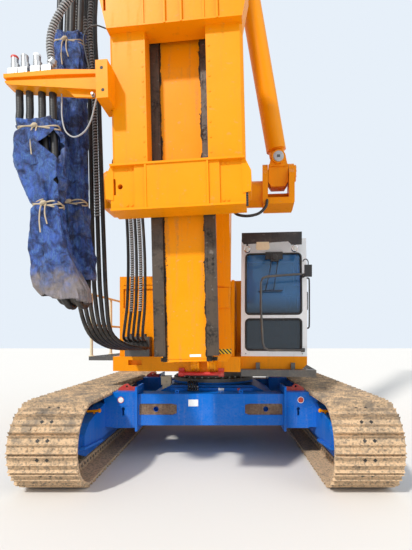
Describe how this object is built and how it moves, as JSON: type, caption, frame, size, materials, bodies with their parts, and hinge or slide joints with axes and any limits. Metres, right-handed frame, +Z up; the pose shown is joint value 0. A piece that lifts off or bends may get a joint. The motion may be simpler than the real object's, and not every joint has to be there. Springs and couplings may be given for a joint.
{
  "type": "rotary piling rig",
  "caption": "Crawler-mounted rotary piling rig with slewing cab, parallelogram boom, tall box mast with back stays, and a travelling sledge without its drive head.",
  "frame": {"origin": "on the ground under the slew axis", "axes": "+Z up, front of the undercarriage towards -Y, cab on the +X side; the upper carriage stands slewed by 5 degrees and the mast leans 1.4 degrees to its left, as in the picture"},
  "size_m": [4.4, 7.7352, 19.9763],
  "materials": {
    "blue_paint": "worn",
    "track_steel": "rusty, covered in dried sand",
    "dark_steel": "worn",
    "red_paint": "worn",
    "yellow_paint": "worn",
    "engine_iron": "dull",
    "white_paint": "satin",
    "window_glass": "clear",
    "seat_plastic": "matt",
    "rod_chrome": "polished",
    "coupling_steel": "zinc plated",
    "hose_rubber": "matt",
    "tarp_cloth": "coated cloth"
  },
  "bodies": {
    "undercarriage": {"car_body": "blue_paint", "crossbeams": "blue_paint", "slew_ring": "dark_steel"},
    "side_left": {"track_frame_left": "blue_paint", "track_left": "track_steel", "rollers_left": "dark_steel", "frame_hooks_left": "red_paint"},
    "side_right": {"track_frame_right": "blue_paint", "track_right": "track_steel", "rollers_right": "dark_steel", "frame_hooks_right": "red_paint"},
    "upper": {"platform": "yellow_paint", "boom_stand": "yellow_paint", "tank": "yellow_paint", "valve_block": "dark_steel", "engine_house": "yellow_paint", "engine": "engine_iron", "counterweight": "yellow_paint", "walkways": "dark_steel", "winch_frame": "yellow_paint", "front_bar": "red_paint", "cab_shell": "white_paint", "cab_glass": "window_glass", "cab_seat": "seat_plastic", "cab_guard": "dark_steel", "cab_rail": "dark_steel"},
    "main_drum": {"main_drum": "dark_steel"},
    "cab_door": {"cab_door": "white_paint", "door_glass": "window_glass"},
    "house_door_left": {"house_door_left": "yellow_paint"},
    "house_door_right": {"house_door_right": "yellow_paint"},
    "boom": {"boom": "yellow_paint"},
    "tie_links": {"tie_links": "yellow_paint"},
    "lift_barrels": {"lift_barrels": "yellow_paint"},
    "lift_rods": {"lift_rods": "rod_chrome"},
    "saddle": {"saddle": "yellow_paint"},
    "stay_barrels": {"stay_barrels": "yellow_paint"},
    "stay_rod_left": {"stay_rod_left": "rod_chrome"},
    "stay_rod_right": {"stay_rod_right": "rod_chrome"},
    "mast": {"mast_lower": "yellow_paint", "mast_upper": "yellow_paint", "mast_rails": "dark_steel", "mast_head": "yellow_paint", "loop_hoses": "hose_rubber", "mast_hoses": "hose_rubber", "tarp_rear": "tarp_cloth"},
    "front_sheave": {"front_sheave": "dark_steel"},
    "rear_sheave": {"rear_sheave": "dark_steel"},
    "aux_drum": {"aux_drum": "dark_steel"},
    "sledge": {"sledge": "yellow_paint", "sledge_shoes": "dark_steel", "hose_arm": "yellow_paint", "couplings": "coupling_steel", "sledge_hoses": "hose_rubber", "tarp_front": "tarp_cloth"}
  },
  "joints": [
    {"name": "track_left_slide", "type": "slide", "parent": "undercarriage", "child": "side_left", "axis": [-1, 0, 0], "range_m": [-0.33, 0]},
    {"name": "track_right_slide", "type": "slide", "parent": "undercarriage", "child": "side_right", "axis": [1, 0, 0], "range_m": [-0.33, 0]},
    {"name": "slew", "type": "hinge", "parent": "undercarriage", "child": "upper", "pos_m": [0, 0, 1.3], "axis": [0, 0, 1], "continuous": true},
    {"name": "main_winch", "type": "hinge", "parent": "upper", "child": "main_drum", "pos_m": [0.01307, 0.14943, 1.93], "axis": [0.9962, -0.0872, 0], "continuous": true},
    {"name": "cab_door_hinge", "type": "hinge", "parent": "upper", "child": "cab_door", "pos_m": [1.55095, 0.11527, 2.4], "axis": [0, 0, 1], "range_deg": [0, 95]},
    {"name": "house_door_left_hinge", "type": "hinge", "parent": "upper", "child": "house_door_left", "pos_m": [-1.22659, 2.21533, 2.1], "axis": [0, 0, -1], "range_deg": [0, 95]},
    {"name": "house_door_right_hinge", "type": "hinge", "parent": "upper", "child": "house_door_right", "pos_m": [1.74705, 2.3567, 2.1], "axis": [0, 0, 1], "range_deg": [0, 95]},
    {"name": "boom_lift", "type": "hinge", "parent": "upper", "child": "boom", "pos_m": [-0.07844, -0.89658, 1.75], "axis": [0.9962, -0.0872, 0], "range_deg": [-20, 25], "deforming": ["mast_hoses"]},
    {"name": "tie_swing", "type": "hinge", "parent": "upper", "child": "tie_links", "pos_m": [-0.07321, -0.8368, 2.55], "axis": [0.9962, -0.0872, 0], "range_deg": [-20.01, 25.01]},
    {"name": "saddle_level", "type": "hinge", "parent": "boom", "child": "saddle", "pos_m": [-0.15252, -1.74334, 2.45], "axis": [0.9962, -0.0872, 0], "range_deg": [-25.01, 20.01]},
    {"name": "lift_cylinder_swing", "type": "hinge", "parent": "upper", "child": "lift_barrels", "pos_m": [-0.10372, -1.18547, 1.42], "axis": [0.9962, -0.0872, 0], "range_deg": [-16.43, 20.54]},
    {"name": "lift_cylinder_stroke", "type": "slide", "parent": "lift_barrels", "child": "lift_rods", "axis": [-0.0421, -0.4816, 0.8754], "range_m": [-0.18189, 0.14555]},
    {"name": "mast_tilt", "type": "hinge", "parent": "saddle", "child": "mast", "pos_m": [-0.17518, -2.00235, 3.695], "axis": [0.9962, -0.0872, 0], "range_deg": [-15, 5], "deforming": ["mast_hoses"]},
    {"name": "back_stay_swing", "type": "hinge", "parent": "saddle", "child": "stay_barrels", "pos_m": [-0.14381, -1.64372, 3.955], "axis": [0.9962, -0.0872, 0], "range_deg": [-15.94, 5.32]},
    {"name": "back_stay_left_stroke", "type": "slide", "parent": "stay_barrels", "child": "stay_rod_left", "axis": [0.1179, -0.09, 0.9889], "range_m": [-0.09356, 0.03132]},
    {"name": "back_stay_right_stroke", "type": "slide", "parent": "stay_barrels", "child": "stay_rod_right", "axis": [-0.1828, -0.0627, 0.9812], "range_m": [-0.09474, 0.03171]},
    {"name": "sledge_travel", "type": "slide", "parent": "mast", "child": "sledge", "axis": [-0.0243, 0.0021, 0.9997], "range_m": [-1.4, 12.4]},
    {"name": "front_sheave_spin", "type": "hinge", "parent": "mast", "child": "front_sheave", "pos_m": [-0.70209, -3.55233, 19.64524], "axis": [0.9959, -0.0871, 0.0244], "continuous": true},
    {"name": "rear_sheave_spin", "type": "hinge", "parent": "mast", "child": "rear_sheave", "pos_m": [-0.56264, -1.95842, 19.64524], "axis": [0.9959, -0.0871, 0.0244], "continuous": true},
    {"name": "aux_winch", "type": "hinge", "parent": "mast", "child": "aux_drum", "pos_m": [-0.31731, -1.85942, 9.99812], "axis": [0.9959, -0.0871, 0.0244], "continuous": true}
  ],
  "couplings": [
    {"joint": "tie_swing", "follows": "boom_lift", "ratio": 1},
    {"joint": "saddle_level", "follows": "boom_lift", "ratio": -1},
    {"joint": "lift_cylinder_swing", "follows": "boom_lift", "ratio": 0.8212},
    {"joint": "lift_cylinder_stroke", "follows": "boom_lift", "m_per_rad": -0.4164},
    {"joint": "back_stay_swing", "follows": "mast_tilt", "ratio": 1.0623},
    {"joint": "back_stay_left_stroke", "follows": "mast_tilt", "m_per_rad": 0.3566},
    {"joint": "back_stay_right_stroke", "follows": "mast_tilt", "m_per_rad": 0.3611}
  ]
}
